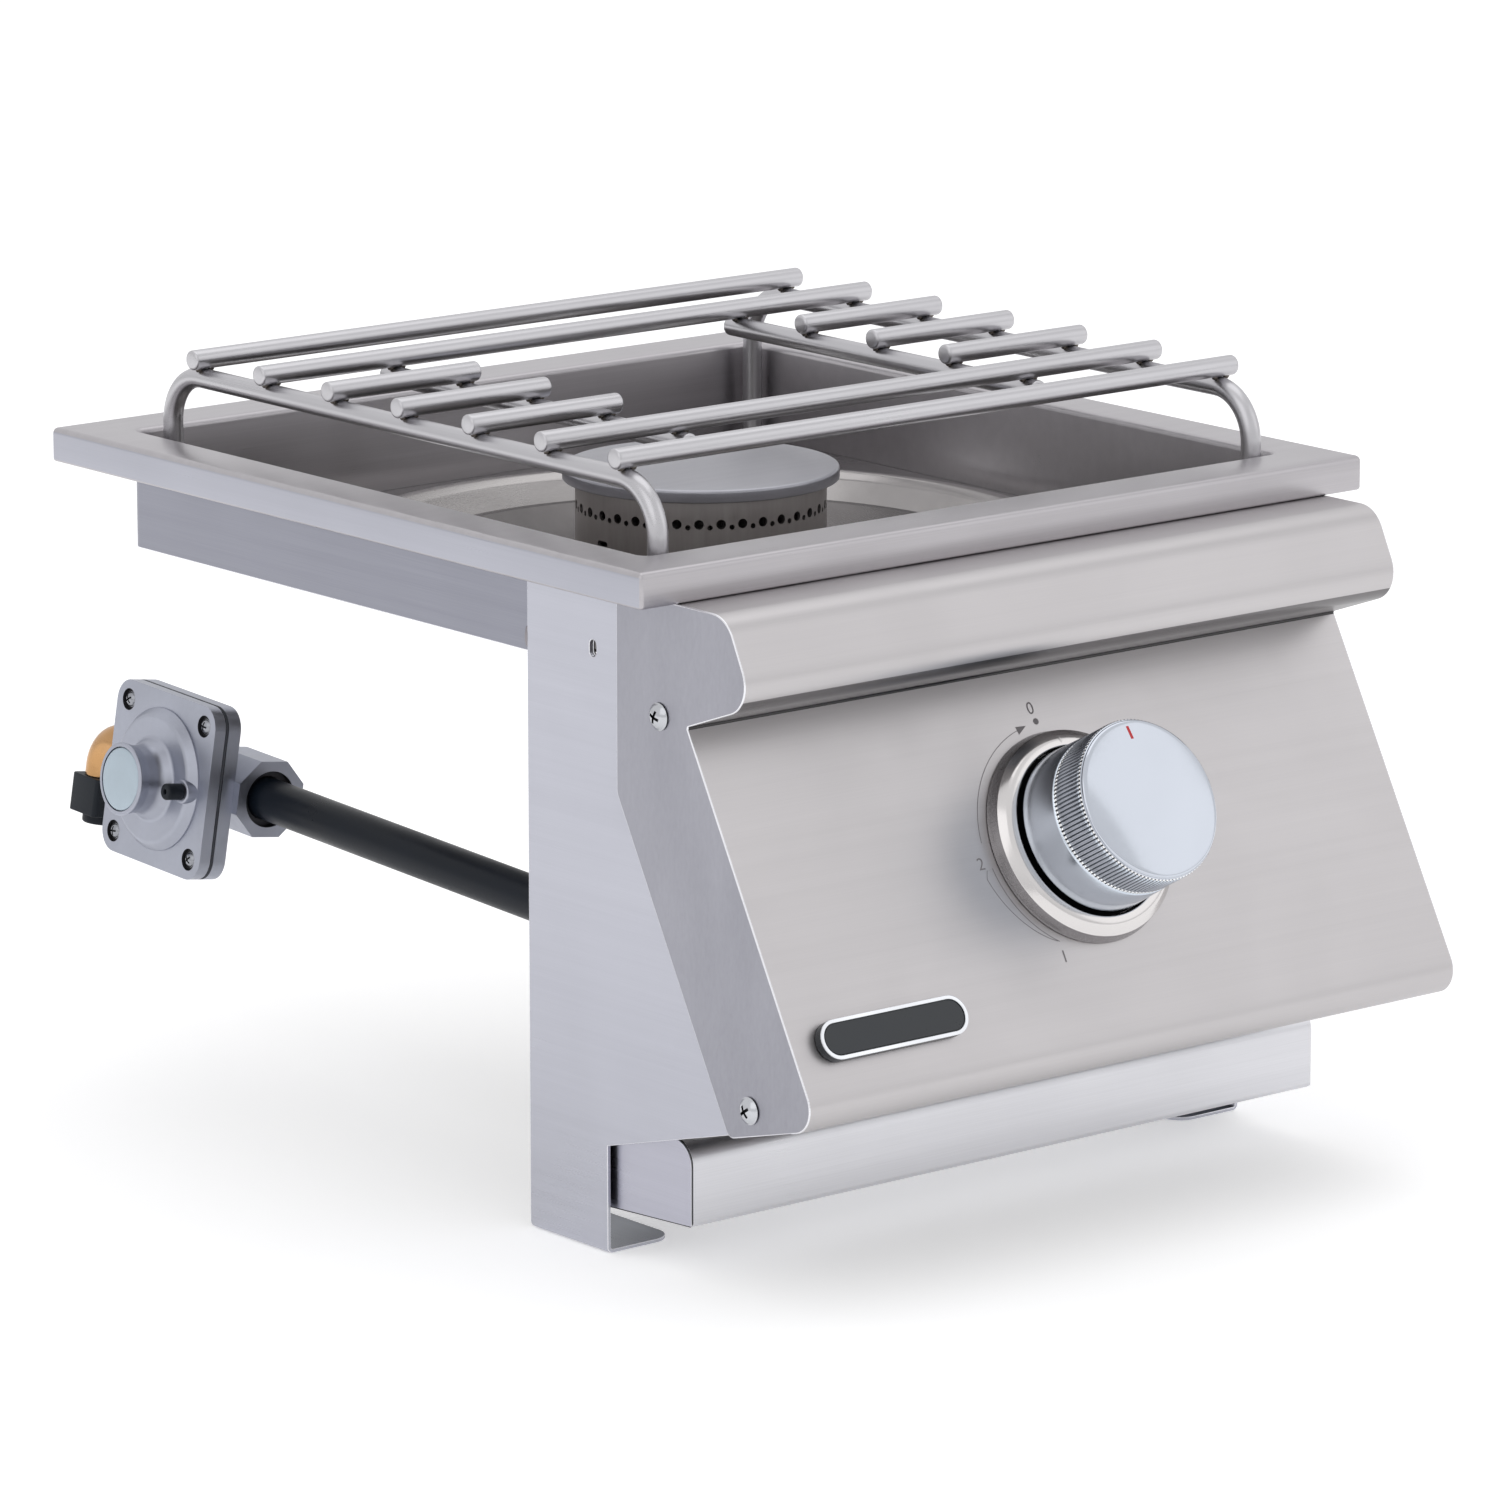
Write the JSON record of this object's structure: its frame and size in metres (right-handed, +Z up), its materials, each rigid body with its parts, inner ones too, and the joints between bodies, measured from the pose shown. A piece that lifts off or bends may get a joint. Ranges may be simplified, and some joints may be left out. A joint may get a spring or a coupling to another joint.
{
  "type": "built-in side burner",
  "caption": "Drop-in gas side burner with a wide rim, ported round burner, rod grate, leaning control panel with a knurled knob, and a gas pipe back to a square regulator",
  "frame": {"origin": "middle of the rim in plan, at the height of the rim's underside, which is the worktop's surface", "axes": "+Z up, -Y towards the cook so that the control panel looks along -Y, +X to the cook's right"},
  "size_m": [0.356, 0.5365, 0.3021],
  "materials": {
    "brushed_steel": "fine straight brushed stainless sheet",
    "pan_steel": "brushed stainless sheet, darker in the pan",
    "rod_steel": "satin stainless rod",
    "burner_steel": "dull stainless, slightly rough",
    "knob_chrome": "polished face with a satin skirt",
    "satin_zinc": "satin plated ring",
    "screw_steel": "bright screw and stem steel",
    "cast_aluminium": "die cast, matt",
    "soft_aluminium": "drawn tube",
    "black_iron": "black lacquered iron pipe and fittings",
    "brass": "machined brass",
    "black_plastic": "matt black plastic",
    "pale_plastic": "pale grey-blue cap",
    "red_mark": "red index mark",
    "badge_dark": "charcoal paint, blank",
    "badge_silver": "bright border",
    "ceramic": "glazed white ceramic",
    "gasket_rubber": "diaphragm edge"
  },
  "bodies": {
    "frame": {"top_frame": "brushed_steel", "pan_floor": "pan_steel", "drip_bowl": "pan_steel", "burner_bracket": "pan_steel", "burner_head": "burner_steel", "venturi_tube": "burner_steel", "air_shutter": "brushed_steel", "orifice_holder": "brass", "feed_tube": "soft_aluminium", "electrode": "ceramic", "electrode_clip": "brushed_steel", "control_panel": "brushed_steel", "right_side_panel": "brushed_steel", "left_side_panel": "brushed_steel", "left_upper_screw": "screw_steel", "right_upper_screw": "screw_steel", "left_lower_screw": "screw_steel", "right_lower_screw": "screw_steel", "bezel": "satin_zinc", "valve_body": "brass", "igniter_box": "black_plastic", "badge_plate": "badge_dark", "badge_border": "badge_silver", "lower_front_pan": "brushed_steel", "manifold_pipe": "black_iron", "manifold_end_cap": "black_iron", "manifold_elbow": "black_iron", "gas_pipe": "black_iron", "regulator_body": "cast_aluminium", "regulator_gasket": "gasket_rubber", "regulator_cover": "cast_aluminium", "regulator_tower_cap": "pale_plastic", "regulator_vent": "black_plastic", "regulator_screw_1": "screw_steel", "regulator_screw_2": "screw_steel", "regulator_screw_3": "screw_steel", "regulator_screw_4": "screw_steel", "inlet_elbow": "brass", "inlet_plug": "black_plastic"},
    "slider": {"thrust_washer": "screw_steel"},
    "knob": {"knob": "knob_chrome", "knob_index": "red_mark", "valve_stem": "screw_steel"},
    "cap": {"burner_cap": "burner_steel"},
    "grate": {"left_outer_rail": "rod_steel", "left_inner_rail": "rod_steel", "right_outer_rail": "rod_steel", "right_inner_rail": "rod_steel", "grate_bar_1": "rod_steel", "grate_bar_2": "rod_steel", "grate_bar_3_left": "rod_steel", "grate_bar_3_right": "rod_steel", "grate_bar_4_left": "rod_steel", "grate_bar_4_right": "rod_steel", "grate_bar_5_left": "rod_steel", "grate_bar_5_right": "rod_steel", "grate_bar_6": "rod_steel", "grate_bar_7": "rod_steel"}
  },
  "joints": [
    {"name": "knob_push", "type": "slide", "parent": "frame", "child": "slider", "axis": [0, 0.8763, -0.4817], "range_m": [0, 0.0035], "stiffness_N_per_m": 1500, "springref_m": -0.004},
    {"name": "knob_turn", "type": "hinge", "parent": "slider", "child": "knob", "pos_m": [0, -0.22122, -0.10368], "axis": [0, -0.8763, 0.4817], "range_deg": [0, 150]},
    {"name": "grate_lift", "type": "slide", "parent": "frame", "child": "grate", "axis": [0, 0, 1], "range_m": [0, 0.12]},
    {"name": "cap_lift", "type": "slide", "parent": "frame", "child": "cap", "axis": [0, 0, 1], "range_m": [0, 0.1]}
  ]
}
